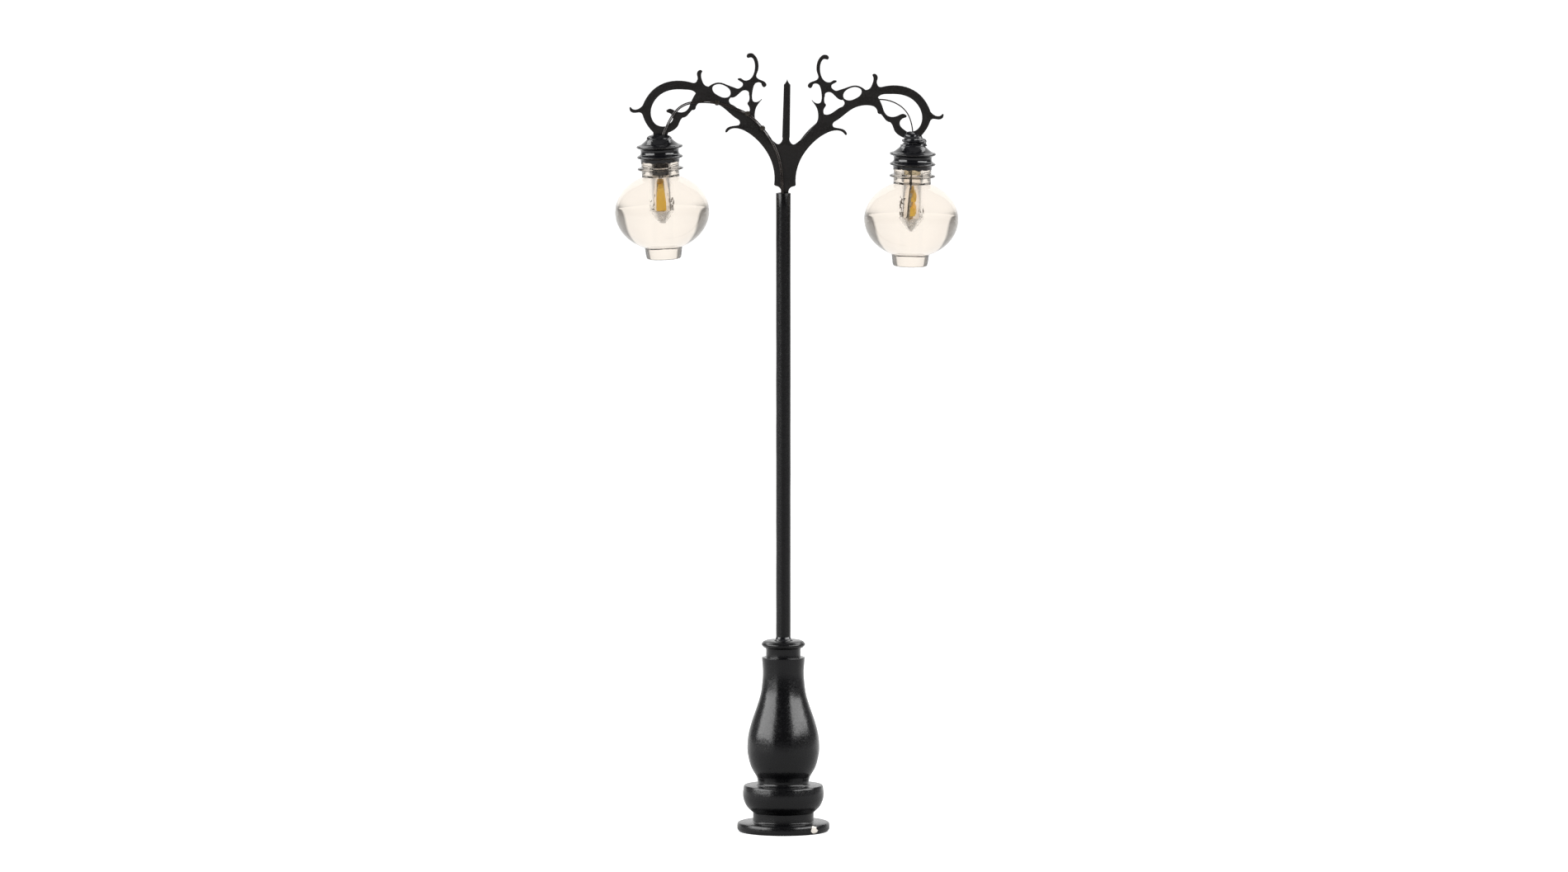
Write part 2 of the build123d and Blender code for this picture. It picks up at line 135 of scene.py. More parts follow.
def dress(piece, material, replaced, bevel=None, angle=28):
    piece.data.shade_smooth()
    piece.data.materials.append(material)
    if bevel:
        edge = piece.modifiers.new("edge", "BEVEL")
        edge.width = bevel * mm
        edge.segments = 3
        edge.limit_method = "ANGLE"
        edge.angle_limit = math.radians(angle)
        flow = piece.modifiers.new("flow", "WEIGHTED_NORMAL")
        flow.weight = 60
    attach(piece, "root")
    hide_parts(*replaced)
    return piece


def copyNode(node):
    # a merged copy of a CAD node's mesh, in millimetres
    bm = bmesh.new()
    bm.from_mesh(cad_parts[node].data)
    bmesh.ops.scale(bm, vec=(1 / mm,) * 3, verts=bm.verts)
    bmesh.ops.remove_doubles(bm, verts=bm.verts, dist=2e-4)
    return bm


def middleOf(node):
    # area centre of a node, which lies on the axis of a turned one
    total, centre = 0.0, Vector()
    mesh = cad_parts[node].data
    for face in mesh.polygons:
        total += face.area
        centre += face.center * face.area
    return centre / total


def headPlace(side):
    # where a head hangs: its origin is the middle of the cap's top ring, Z runs up its axis
    globeMiddle = middleOf(f"globe_{side}")
    up = (middleOf(f"cap_{side}") - globeMiddle).normalized()
    top = max((v.co - globeMiddle).dot(up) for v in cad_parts[f"cap_{side}"].data.vertices)
    across = Vector((up.z, 0, -up.x)).normalized()
    turn = Matrix((across, up.cross(across), up)).transposed().to_4x4()
    return Matrix.Translation(globeMiddle + up * (top - cap["top"] * mm)) @ turn

view = {
    "distance": 1.4,      # long lens, well back
    "elevation": 5.6,     # degrees above level
    "aim": (0.056, 0, 33.74),
    "width": 133.0,       # millimetres across the frame at the post
    "sensor": 36.0,
}
aim = Vector(view["aim"]) * mm
tilt = math.radians(view["elevation"])
cameraData = bpy.data.cameras.new("camera")
cameraData.sensor_width = view["sensor"]
cameraData.lens = view["sensor"] * view["distance"] / (view["width"] * mm)
cameraData.clip_start = 0.01
camera = bpy.data.objects.new("camera", cameraData)
bpy.context.scene.collection.objects.link(camera)
camera.location = aim + Vector((0, -math.cos(tilt), math.sin(tilt))) * view["distance"]
camera.rotation_euler = (math.radians(90) - tilt, 0, 0)
bpy.context.scene.camera = camera
print("camera placed")


def grainedPaint(tree, shader, where, look):
    # sprayed enamel: a fine dry grain on slow orange peel, duller where the grain is thick
    grain = addNode(tree, "ShaderNodeTexNoise", inputs={
        "Vector": where, "Scale": perMm(look["grain"]), "Detail": 3.0, "Roughness": 0.6}).outputs["Fac"]
    peel = addNode(tree, "ShaderNodeTexNoise", inputs={
        "Vector": where, "Scale": perMm(look["peel"]), "Detail": 2.0}).outputs["Fac"]
    patch = addNode(tree, "ShaderNodeTexNoise", inputs={
        "Vector": where, "Scale": perMm(look["patch"]), "Detail": 3.0}).outputs["Fac"]
    mixed = addNode(tree, "ShaderNodeMixRGB", inputs={
        "Fac": patch, "Color1": colour(look["dark"]), "Color2": colour(look["light"])}).outputs["Color"]
    # dust and pinholes: a pale fleck in a few cells only
    cells = addNode(tree, "ShaderNodeTexVoronoi", inputs={
        "Vector": where, "Scale": perMm(look["fleckGap"])})
    fleckSize = addNode(tree, "ShaderNodeMapRange", inputs={
        "Value": cells.outputs["Distance"], "From Min": look["fleck"] * 0.6, "From Max": look["fleck"],
        "To Min": 1.0, "To Max": 0.0}).outputs["Result"]
    fleckPick = addNode(tree, "ShaderNodeSeparateColor", inputs={"Color": cells.outputs["Color"]})
    picked = addNode(tree, "ShaderNodeMapRange", inputs={
        "Value": fleckPick.outputs["Red"], "From Min": 0.965, "From Max": 0.975}).outputs["Result"]
    fleck = addNode(tree, "ShaderNodeMath", {"operation": "MULTIPLY"}, {0: fleckSize, 1: picked}).outputs[0]
    rough = addNode(tree, "ShaderNodeMapRange", inputs={
        "Value": grain, "From Min": 0.3, "From Max": 0.7,
        "To Min": look["rough"] - 0.07, "To Max": look["rough"] + 0.09}).outputs["Result"]
    tree.links.new(rough, shader.inputs["Roughness"])
    peelBump = addNode(tree, "ShaderNodeBump", inputs={
        "Height": peel, "Distance": look["peelHeight"] * mm, "Strength": 1.0}).outputs["Normal"]
    grainBump = addNode(tree, "ShaderNodeBump", inputs={
        "Height": grain, "Distance": look["grainHeight"] * mm, "Strength": 1.0,
        "Normal": peelBump}).outputs["Normal"]
    tree.links.new(grainBump, shader.inputs["Normal"])
    shader.inputs["Specular IOR Level"].default_value = 0.38  # enamel binder, a little below glass
    return mixed, fleck


def basePaint():
    # black enamel sprayed on turned brass: semi-gloss with a sandy grain, a few dust specks,
    # and one bare chip at the rim of the foot
    look = {"dark": "#050506", "light": "#0a0a0c", "rough": 0.23, "grain": 0.16, "grainHeight": 0.006,
            "peel": 0.6, "peelHeight": 0.012, "patch": 3.0, "fleckGap": 1.1, "fleck": 0.09,
            "chipAt": (2.62, -2.9, 0.42), "chipReach": 0.7, "chipGrain": 0.22}
    material, tree, shader, where = newMaterial("black_sprayed_enamel")
    mixed, fleck = grainedPaint(tree, shader, where, look)
    away = addNode(tree, "ShaderNodeVectorMath", {"operation": "DISTANCE"}, {
        0: where, 1: Vector(look["chipAt"]) * mm}).outputs["Value"]
    ragged = addNode(tree, "ShaderNodeTexNoise", inputs={
        "Vector": where, "Scale": perMm(look["chipGrain"]), "Detail": 3.0}).outputs["Fac"]
    reach = addNode(tree, "ShaderNodeMath", {"operation": "MULTIPLY"}, {
        0: ragged, 1: look["chipReach"] * mm}).outputs[0]
    bare = addNode(tree, "ShaderNodeMath", {"operation": "LESS_THAN"}, {0: away, 1: reach}).outputs[0]
    pale = addNode(tree, "ShaderNodeMath", {"operation": "MAXIMUM"}, {0: fleck, 1: bare}).outputs[0]
    final = addNode(tree, "ShaderNodeMixRGB", inputs={
        "Fac": pale, "Color1": mixed, "Color2": colour("#d8d2ca")}).outputs["Color"]
    tree.links.new(final, shader.inputs["Base Color"])
    return material


def polePaint():
    # the same enamel on drawn tube: thinner and smoother
    look = {"dark": "#050506", "light": "#0b0a0b", "rough": 0.22, "grain": 0.14, "grainHeight": 0.003,
            "peel": 0.5, "peelHeight": 0.01, "patch": 4.0, "fleckGap": 1.3, "fleck": 0.06}
    material, tree, shader, where = newMaterial("black_enamel_on_tube")
    mixed, fleck = grainedPaint(tree, shader, where, look)
    final = addNode(tree, "ShaderNodeMixRGB", inputs={
        "Fac": fleck, "Color1": mixed, "Color2": colour("#a8a49e")}).outputs["Color"]
    tree.links.new(final, shader.inputs["Base Color"])
    return material


def platePaint():
    # enamel brushed thin on etched brass: dead flat, with the warm metal showing through in places
    look = {"dark": "#050505", "light": "#110c0a", "rough": 0.4, "grain": 0.12, "grainHeight": 0.006,
            "peel": 0.5, "peelHeight": 0.012, "patch": 1.6, "fleckGap": 1.0, "fleck": 0.05}
    material, tree, shader, where = newMaterial("black_enamel_on_etched_brass")
    mixed, fleck = grainedPaint(tree, shader, where, look)
    final = addNode(tree, "ShaderNodeMixRGB", inputs={
        "Fac": fleck, "Color1": mixed, "Color2": colour("#8f8a84")}).outputs["Color"]
    tree.links.new(final, shader.inputs["Base Color"])
    return material


def capPaint():
    # thick gloss black over moulded rings: pools and sags, so its highlights break up
    material, tree, shader, where = newMaterial("gloss_black_enamel")
    flow = addNode(tree, "ShaderNodeTexNoise", inputs={
        "Vector": where, "Scale": perMm(0.45), "Detail": 2.0}).outputs["Fac"]
    speck = addNode(tree, "ShaderNodeTexNoise", inputs={
        "Vector": where, "Scale": perMm(0.12), "Detail": 2.0}).outputs["Fac"]
    tone = addNode(tree, "ShaderNodeMixRGB", inputs={
        "Fac": flow, "Color1": colour("#070709"), "Color2": colour("#101013")}).outputs["Color"]
    tree.links.new(tone, shader.inputs["Base Color"])
    rough = addNode(tree, "ShaderNodeMapRange", inputs={
        "Value": speck, "From Min": 0.35, "From Max": 0.7, "To Min": 0.08, "To Max": 0.18}).outputs["Result"]
    tree.links.new(rough, shader.inputs["Roughness"])
    slow = addNode(tree, "ShaderNodeBump", inputs={
        "Height": flow, "Distance": 0.02 * mm, "Strength": 1.0}).outputs["Normal"]
    fine = addNode(tree, "ShaderNodeBump", inputs={
        "Height": speck, "Distance": 0.001 * mm, "Strength": 1.0, "Normal": slow}).outputs["Normal"]
    tree.links.new(fine, shader.inputs["Normal"])
    return material


def blackGlue():
    # cyanoacrylate run over with black: wet, dimpled, with sharp bright glints
    material, tree, shader, where = newMaterial("black_glue")
    dimple = addNode(tree, "ShaderNodeTexNoise", inputs={
        "Vector": where, "Scale": perMm(0.3), "Detail": 3.0, "Distortion": 0.6}).outputs["Fac"]
    tone = addNode(tree, "ShaderNodeMixRGB", inputs={
        "Fac": dimple, "Color1": colour("#070709"), "Color2": colour("#131317")}).outputs["Color"]
    tree.links.new(tone, shader.inputs["Base Color"])
    rough = addNode(tree, "ShaderNodeMapRange", inputs={
        "Value": dimple, "From Min": 0.3, "From Max": 0.7, "To Min": 0.08, "To Max": 0.3}).outputs["Result"]
    tree.links.new(rough, shader.inputs["Roughness"])
    bump = addNode(tree, "ShaderNodeBump", inputs={
        "Height": dimple, "Distance": 0.016 * mm, "Strength": 1.0}).outputs["Normal"]
    tree.links.new(bump, shader.inputs["Normal"])
    return material


def clearMoulding(name, haziness):
    # injection-moulded clear styrene, a touch yellow: glassy outside, faint flow lines round the neck,
    # hazier where the bore's core pin dragged
    material, tree, shader, where = newMaterial(name)
    shader.inputs["Base Color"].default_value = colour("#f2e9de")
    shader.inputs["Transmission Weight"].default_value = 1.0
    shader.inputs["IOR"].default_value = 1.49
    shader.inputs["Specular IOR Level"].default_value = 0.18  # mirrors less than new glass does
    streak = addNode(tree, "ShaderNodeMapping", inputs={
        "Vector": where, "Scale": (1, 1, 3.5)}).outputs["Vector"]
    flow = addNode(tree, "ShaderNodeTexNoise", inputs={
        "Vector": streak, "Scale": perMm(1.6), "Detail": 2.0}).outputs["Fac"]
    haze = addNode(tree, "ShaderNodeTexNoise", inputs={
        "Vector": where, "Scale": perMm(0.5), "Detail": 3.0}).outputs["Fac"]
    rough = addNode(tree, "ShaderNodeMapRange", inputs={
        "Value": haze, "From Min": 0.4, "From Max": 0.75,
        "To Min": haziness[0], "To Max": haziness[1]}).outputs["Result"]
    tree.links.new(rough, shader.inputs["Roughness"])
    bump = addNode(tree, "ShaderNodeBump", inputs={
        "Height": flow, "Distance": 0.012 * mm, "Strength": 1.0}).outputs["Normal"]
    tree.links.new(bump, shader.inputs["Normal"])
    return material


def clearGlue():
    # set clear glue: yellowish, with ripples and small bubbles
    material, tree, shader, where = newMaterial("clear_glue")
    shader.inputs["Base Color"].default_value = colour("#efe9cf")
    shader.inputs["Transmission Weight"].default_value = 0.9
    shader.inputs["IOR"].default_value = 1.46
    ripple = addNode(tree, "ShaderNodeTexNoise", inputs={
        "Vector": where, "Scale": perMm(0.35), "Detail": 3.0, "Distortion": 1.2}).outputs["Fac"]
    rough = addNode(tree, "ShaderNodeMapRange", inputs={
        "Value": ripple, "From Min": 0.3, "From Max": 0.7, "To Min": 0.05, "To Max": 0.3}).outputs["Result"]
    tree.links.new(rough, shader.inputs["Roughness"])
    bump = addNode(tree, "ShaderNodeBump", inputs={
        "Height": ripple, "Distance": 0.06 * mm, "Strength": 1.0}).outputs["Normal"]
    tree.links.new(bump, shader.inputs["Normal"])
    return material


def glueOnPaint():
    # a thin clear dab over black: it reads as the black beneath, with wet glints
    material, tree, shader, where = newMaterial("clear_glue_over_black")
    ripple = addNode(tree, "ShaderNodeTexNoise", inputs={
        "Vector": where, "Scale": perMm(0.2), "Detail": 2.0}).outputs["Fac"]
    tone = addNode(tree, "ShaderNodeMixRGB", inputs={
        "Fac": ripple, "Color1": colour("#12100d"), "Color2": colour("#35302a")}).outputs["Color"]
    tree.links.new(tone, shader.inputs["Base Color"])
    shader.inputs["Roughness"].default_value = 0.12
    bump = addNode(tree, "ShaderNodeBump", inputs={
        "Height": ripple, "Distance": 0.02 * mm, "Strength": 1.0}).outputs["Normal"]
    tree.links.new(bump, shader.inputs["Normal"])
    return material


def scuffedStyrene():
    # the same styrene where the chip was pushed in: smears of flux and glue frost it in patches
    material, tree, shader, where = newMaterial("smeared_clear_styrene")
    smear = addNode(tree, "ShaderNodeTexNoise", inputs={
        "Vector": where, "Scale": perMm(0.22), "Detail": 3.0}).outputs["Fac"]
    grey = addNode(tree, "ShaderNodeMixRGB", inputs={
        "Fac": smear, "Color1": colour("#f8f1e8"), "Color2": colour("#8f8880")}).outputs["Color"]
    tree.links.new(grey, shader.inputs["Base Color"])
    shader.inputs["Transmission Weight"].default_value = 1.0
    shader.inputs["IOR"].default_value = 1.49
    rough = addNode(tree, "ShaderNodeMapRange", inputs={
        "Value": smear, "From Min": 0.35, "From Max": 0.6, "To Min": 0.18, "To Max": 0.5}).outputs["Result"]
    tree.links.new(rough, shader.inputs["Roughness"])
    bump = addNode(tree, "ShaderNodeBump", inputs={
        "Height": smear, "Distance": 0.04 * mm, "Strength": 1.0}).outputs["Normal"]
    tree.links.new(bump, shader.inputs["Normal"])
    return material


def fluxStain():
    # flux residue: matt grey-brown, mottled
    material, tree, shader, where = newMaterial("dried_flux")
    mottle = addNode(tree, "ShaderNodeTexNoise", inputs={
        "Vector": where, "Scale": perMm(0.15), "Detail": 3.0}).outputs["Fac"]
    tone = addNode(tree, "ShaderNodeMixRGB", inputs={
        "Fac": mottle, "Color1": colour("#6f665e"), "Color2": colour("#cfc8c0")}).outputs["Color"]
    tree.links.new(tone, shader.inputs["Base Color"])
    shader.inputs["Roughness"].default_value = 0.5
    return material


def wireEnamel():
    # enamelled copper wire dipped in black: glossy, a little copper where the enamel is thin
    material, tree, shader, where = newMaterial("black_enamelled_wire")
    thin = addNode(tree, "ShaderNodeTexNoise", inputs={
        "Vector": where, "Scale": perMm(0.8), "Detail": 3.0}).outputs["Fac"]
    tone = addNode(tree, "ShaderNodeMixRGB", inputs={
        "Fac": thin, "Color1": colour("#0e0e0f"), "Color2": colour("#2a211c")}).outputs["Color"]
    tree.links.new(tone, shader.inputs["Base Color"])
    rough = addNode(tree, "ShaderNodeMapRange", inputs={
        "Value": thin, "From Min": 0.3, "From Max": 0.7, "To Min": 0.12, "To Max": 0.34}).outputs["Result"]
    tree.links.new(rough, shader.inputs["Roughness"])
    return material


def phosphor():
    # yellow phosphor in silicone: matt, grainy, deeper orange in its low spots, with a painted glow
    material, tree, shader, where = newMaterial("phosphor_in_silicone")
    powder = addNode(tree, "ShaderNodeTexNoise", inputs={
        "Vector": where, "Scale": perMm(0.09), "Detail": 3.0}).outputs["Fac"]
    tone = addNode(tree, "ShaderNodeMixRGB", inputs={
        "Fac": powder, "Color1": colour("#eebb3a"), "Color2": colour("#fbdc70")}).outputs["Color"]
    tree.links.new(tone, shader.inputs["Base Color"])
    shader.inputs["Roughness"].default_value = 0.38
    shader.inputs["Emission Color"].default_value = colour("#ffd050")  # painted light: a faint glow in place of the light that the clear globe keeps off the chip
    shader.inputs["Emission Strength"].default_value = 0.32
    shader.inputs["Subsurface Weight"].default_value = 0.15
    shader.inputs["Subsurface Scale"].default_value = 0.1 * mm
    shader.inputs["Subsurface Radius"].default_value = (1.0, 0.6, 0.15)
    bump = addNode(tree, "ShaderNodeBump", inputs={
        "Height": powder, "Distance": 0.006 * mm, "Strength": 1.0}).outputs["Normal"]
    tree.links.new(bump, shader.inputs["Normal"])
    return material


def chipBoard():
    # white resin board: matt, with the weave of its glass just showing
    material, tree, shader, where = newMaterial("white_resin_board")
    weave = addNode(tree, "ShaderNodeTexWave", {"wave_type": "BANDS", "bands_direction": "Z"}, {
        "Vector": where, "Scale": perMm(0.12) / 6.28, "Distortion": 1.0}).outputs["Fac"]
    tone = addNode(tree, "ShaderNodeMixRGB", inputs={
        "Fac": weave, "Color1": colour("#cfc9b4"), "Color2": colour("#ece8da")}).outputs["Color"]
    tree.links.new(tone, shader.inputs["Base Color"])
    shader.inputs["Roughness"].default_value = 0.6
    return material


def goldPlate():
    # thin gold flash over copper: soft satin shine
    material, tree, shader, where = newMaterial("gold_flashed_copper")
    dull = addNode(tree, "ShaderNodeTexNoise", inputs={
        "Vector": where, "Scale": perMm(0.1), "Detail": 3.0}).outputs["Fac"]
    tone = addNode(tree, "ShaderNodeMixRGB", inputs={
        "Fac": dull, "Color1": colour("#c8a04a"), "Color2": colour("#e6c67c")}).outputs["Color"]
    tree.links.new(tone, shader.inputs["Base Color"])
    shader.inputs["Metallic"].default_value = 1.0
    rough = addNode(tree, "ShaderNodeMapRange", inputs={
        "Value": dull, "To Min": 0.22, "To Max": 0.4}).outputs["Result"]
    tree.links.new(rough, shader.inputs["Roughness"])
    return material


def solderTin():
    # tin solder, frozen with a slightly crystalline skin
    material, tree, shader, where = newMaterial("tin_solder")
    frost = addNode(tree, "ShaderNodeTexNoise", inputs={
        "Vector": where, "Scale": perMm(0.07), "Detail": 2.0}).outputs["Fac"]
    tone = addNode(tree, "ShaderNodeMixRGB", inputs={
        "Fac": frost, "Color1": colour("#b4b4b6"), "Color2": colour("#dcdcdc")}).outputs["Color"]
    tree.links.new(tone, shader.inputs["Base Color"])
    shader.inputs["Metallic"].default_value = 1.0
    rough = addNode(tree, "ShaderNodeMapRange", inputs={
        "Value": frost, "To Min": 0.15, "To Max": 0.38}).outputs["Result"]
    tree.links.new(rough, shader.inputs["Roughness"])
    return material


paintOnBase, paintOnPole, paintOnPlate, paintOnCap = basePaint(), polePaint(), platePaint(), capPaint()
glueBlack, glueClear, glueSkin = blackGlue(), clearGlue(), glueOnPaint()
styrene = clearMoulding("clear_moulded_styrene", (0.0, 0.05))
styreneBore = clearMoulding("hazy_moulded_styrene", (0.1, 0.3))
styreneSmeared, driedFlux = scuffedStyrene(), fluxStain()
enamelWire, phosphorFace, resinBoard = wireEnamel(), phosphor(), chipBoard()
goldEnds, tinSolder = goldPlate(), solderTin()
print("materials made")

base = {
    "foot": 3.92,          # radius of the flange
    "footHeight": 0.8,
    "bowlTop": 3.95,
    "vaseTop": 14.86,
    "collarTop": 16.3,
    "outlet": 1.0,         # recess under it
    "step": 1.2,           # where the tube stands
    "bore": 0.625,
    "edge": 0.07,          # paint-rounded corners
}
foot, footTop = base["foot"], base["footHeight"]
baseOutline = outline([
    [(base["outlet"], 0), (foot - 0.14, 0)],
    [(foot - 0.14, 0), (foot, 0.22)],
    [(foot, 0.22), (foot, footTop - 0.2)],
    [(foot, footTop - 0.2), (foot - 0.06, footTop - 0.06), (foot - 0.2, footTop)],
    [(foot - 0.2, footTop), (2.66, footTop)],
    [(2.66, footTop), (2.58, footTop + 0.1)],
    [(2.58, footTop + 0.1), (2.58, 1.6)],
    [(2.58, 1.6), (3.1, 2.12), (3.37, 2.7), (3.44, 3.25), (3.37, 3.85)],
    [(3.37, 3.85), (3.3, base["bowlTop"])],
    [(3.3, base["bowlTop"]), (2.34, base["bowlTop"])],
    [(2.34, base["bowlTop"]), (2.2, base["bowlTop"] + 0.14), (2.19, 4.36), (2.27, 4.66)],
    [(2.27, 4.66), (2.74, 5.5), (2.99, 6.4), (3.07, 7.2), (2.97, 8.3), (2.67, 9.45), (2.27, 10.6),
     (1.94, 11.7), (1.79, 12.8), (1.75, 13.7), (1.83, base["vaseTop"])],
    [(1.83, base["vaseTop"]), (1.47, base["vaseTop"])],
    [(1.47, base["vaseTop"]), (1.47, 15.5)],
    [(1.47, 15.5), (1.53, 15.66), (1.7, 15.74)],
    [(1.7, 15.74), (1.86, 15.98), (1.7, 16.22)],
    [(1.7, 16.22), (1.5, base["collarTop"])],
    [(1.5, base["collarTop"]), (base["bore"], base["collarTop"])],
    [(base["bore"], base["collarTop"]), (base["bore"], base["step"])],
    [(base["bore"], base["step"]), (base["outlet"], base["step"])],
])
standing = Matrix.Translation((0, 0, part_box("base")[0].z))
finishPiece("base_turned", turned(baseOutline, 128, True), paintOnBase, ["base"],
            standing, base["edge"])

tubeLow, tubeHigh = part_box("pole")
tube = {
    "outer": (tubeHigh.x - tubeLow.x) / 2 / mm,
    "inner": 0.425,
    "low": tubeLow.z / mm,
    "high": tubeHigh.z / mm,
    "rows": 40,            # lets the paint run in slow waves
    "wave": 0.012,
    "waveLength": 1.7,
    "edge": 0.05,
}
tubeRise = (tube["high"] - tube["low"]) / tube["rows"]
tubeOutline = [(tube["inner"], tube["low"])]
tubeOutline += [(tube["outer"], tube["low"] + tubeRise * row) for row in range(tube["rows"] + 1)]
tubeOutline += [(tube["inner"], tube["high"])]
tubeMesh = turned(tubeOutline, 48, True)
lumpy(tubeMesh, tube["wave"], tube["waveLength"], 3.0,
      lambda co: 1.0 if Vector((co.x, co.y)).length > tube["inner"] + 0.075 else 0.0)
finishPiece("pole_tube", tubeMesh, paintOnPole, ["pole"], Matrix(), tube["edge"])

filletOutline = [(0.6, 16.28), (0.8, 16.28), (0.78, 16.36), (0.7, 16.44), (0.64, 16.6), (0.6, 16.62)]
filletMesh = turned(outline([filletOutline]), 48, True)
lumpy(filletMesh, 0.05, 0.5, 5.0)
finishPiece("foot_fillet", filletMesh, glueBlack, ["foot_glue"], Matrix())
print("base and tube turned")

plate = {
    "thick": 0.3,
    "edge": 0.04,          # rounding that the etching and the paint leave
    "roundSteps": 2,
}


def frontLoops(node):
    # the closed outlines of a flat node's front face, in millimetres
    bm = copyNode(node)
    bm.normal_update()
    rim = [e for e in bm.edges if sum(f.normal.y < -0.7 for f in e.link_faces) == 1]
    loops = []
    while rim:
        edge = rim.pop()
        loop = [edge.verts[0], edge.verts[1]]
        while loop[-1] is not loop[0]:
            step = next(e for e in rim if loop[-1] in e.verts)
            rim.remove(step)
            loop.append(step.other_vert(loop[-1]))
        loops.append([v.co.copy() for v in loop[:-1]])
    bm.free()
    return loops


def roundedSheet(name, loops, look):
    # a filled flat curve with its edges rounded, stood upright as a mesh
    curve = bpy.data.curves.new(name, "CURVE")
    curve.dimensions = "2D"
    curve.fill_mode = "BOTH"
    curve.extrude = look["thick"] / 2 - look["edge"]
    curve.bevel_depth = look["edge"]
    curve.bevel_resolution = look["roundSteps"]
    curve.offset = -look["edge"]
    for loop in loops:
        spline = curve.splines.new("POLY")
        spline.points.add(len(loop) - 1)
        for point, co in zip(spline.points, loop):
            point.co = (co.x, co.z, 0, 1)
        spline.use_cyclic_u = True
    drawn = bpy.data.objects.new(name + "_drawn", curve)
    bpy.context.scene.collection.objects.link(drawn)
    bpy.context.view_layer.update()
    mesh = bpy.data.meshes.new_from_object(drawn)
    bpy.data.objects.remove(drawn)
    bm = bmesh.new()
    bm.from_mesh(mesh)
    bpy.data.meshes.remove(mesh)
    bmesh.ops.rotate(bm, cent=(0, 0, 0), matrix=Matrix.Rotation(math.radians(90), 3, "X"), verts=bm.verts)
    bmesh.ops.remove_doubles(bm, verts=bm.verts, dist=1e-4)
    return bm


plateMesh = roundedSheet("plate", frontLoops("arm_plate"), plate)
armPlate = finishPiece("arm_sheet", plateMesh, paintOnPlate, ["arm_plate"], Matrix())
armPlate.data.set_sharp_from_angle(angle=math.radians(50))
print("arm plate rounded")

cap = {
    "top": 0.8,            # above its top ring
    "hole": 0.78,
    "ring": 1.95,
    "barrel": 1.63,
    "bottom": 1.3,         # below its top ring
    "socket": 1.3,
    "raggedSkirt": 0.24,   # how far the black runs down, here and there
    "edge": 0.03,
}
globe = {
    "across": 4.0,         # radius
    "half": 3.28,          # half its height
    "drop": 5.55,          # its middle below the top ring
    "neck": 1.6,
    "bore": 0.72,
    "boreEnd": 5.55,
    "tipEnd": 6.12,
    "scuffFrom": 5.5,      # the bore's end is frosted by the glue's fumes
    "knobEnd": 9.57,
    "arcSteps": 44,
    "wallTop": 0.08,       # the bore's wall, from here down
    "wallSteps": 150,      # fine enough for the stains on it
    "edge": 0.06,
}


def capMesh():
    ring, barrel = cap["ring"], cap["barrel"]
    points = outline([
        [(cap["hole"], cap["top"]), (0.95, cap["top"])],
        [(0.95, cap["top"]), (1.18, 0.52), (1.6, 0.2), (1.9, 0.1)],
        [(1.9, 0.1), (ring + 0.02, 0), (1.9, -0.1)],
        [(1.9, -0.1), (1.68, -0.2), (barrel - 0.02, -0.4), (1.67, -0.64), (1.9, -0.79)],
        [(1.9, -0.79), (ring, -0.87), (1.9, -0.95)],
        [(1.9, -0.95), (1.69, -1.03), (1.64, -1.2)],
        [(1.64, -1.2), (1.63, -cap["bottom"] + 0.08)],
        [(1.63, -cap["bottom"] + 0.08), (1.607, -cap["bottom"] + 0.08)],
        [(1.607, -cap["bottom"] + 0.08), (cap["socket"], -1.04)],
        [(cap["socket"], -1.04), (cap["socket"], 0.1)],
        [(cap["socket"], 0.1), (cap["hole"], 0.1)],
    ])
    return turned(points, 96, True)


def globeMesh():
    neckAngle = math.acos(globe["neck"] / globe["across"])
    arc = []
    for step in range(globe["arcSteps"] + 1):
        angle = neckAngle * (1 - 2 * step / globe["arcSteps"])
        arc.append((globe["across"] * math.cos(angle), globe["half"] * math.sin(angle) - globe["drop"]))
    neck = globe["neck"]
    points = outline([
        [(0, -globe["tipEnd"]), (0.15, 0.01 - globe["tipEnd"]), (0.27, 0.1 - globe["tipEnd"])],
        [(0.27, 0.1 - globe["tipEnd"]), (globe["bore"] - 0.03, -globe["boreEnd"] - 0.03)],
        [(globe["bore"] - 0.03, -globe["boreEnd"] - 0.03), (globe["bore"], 0.05 - globe["boreEnd"])],
    ])
    wallTop, wallFoot = globe["wallTop"], 0.05 - globe["boreEnd"]
    rise = (wallTop - wallFoot) / globe["wallSteps"]
    points += [(globe["bore"], wallFoot + rise * (step + 1)) for step in range(globe["wallSteps"])]
    points += outline([
        [(globe["bore"], wallTop), (1.28, wallTop)],
        [(1.28, wallTop), (1.28, -1.1)],
        [(1.28, -1.1), (neck, -1.3)],
        [(neck, -1.3), (neck, -1.7)],
        [(neck, -1.7), (1.9, -1.79)],
        [(1.9, -1.79), (cap["ring"], -1.87), (1.9, -1.95)],
        [(1.9, -1.95), (neck, -2.04)],
        [(neck, -2.04), arc[0]],
    ])[1:]
    points += arc[1:]
    points += outline([
        [arc[-1], (1.5, -globe["knobEnd"] + 0.25)],
        [(1.5, -globe["knobEnd"] + 0.25), (1.42, -globe["knobEnd"] + 0.07), (1.25, -globe["knobEnd"])],
        [(1.25, -globe["knobEnd"]), (0, -globe["knobEnd"])],
    ])[1:]
    return turned(points, 128)


fluxStains = {
    # flux and glue dried on the bore's wall: middle of the stain round the bore in degrees, its half width,
    # and how deep it starts and ends
    "left": [(196, 34, 4.95, 5.52), (-14, 34, 4.85, 5.5)],
    "right": [(200, 38, 4.4, 5.5), (-16, 34, 5.0, 5.5)],
}


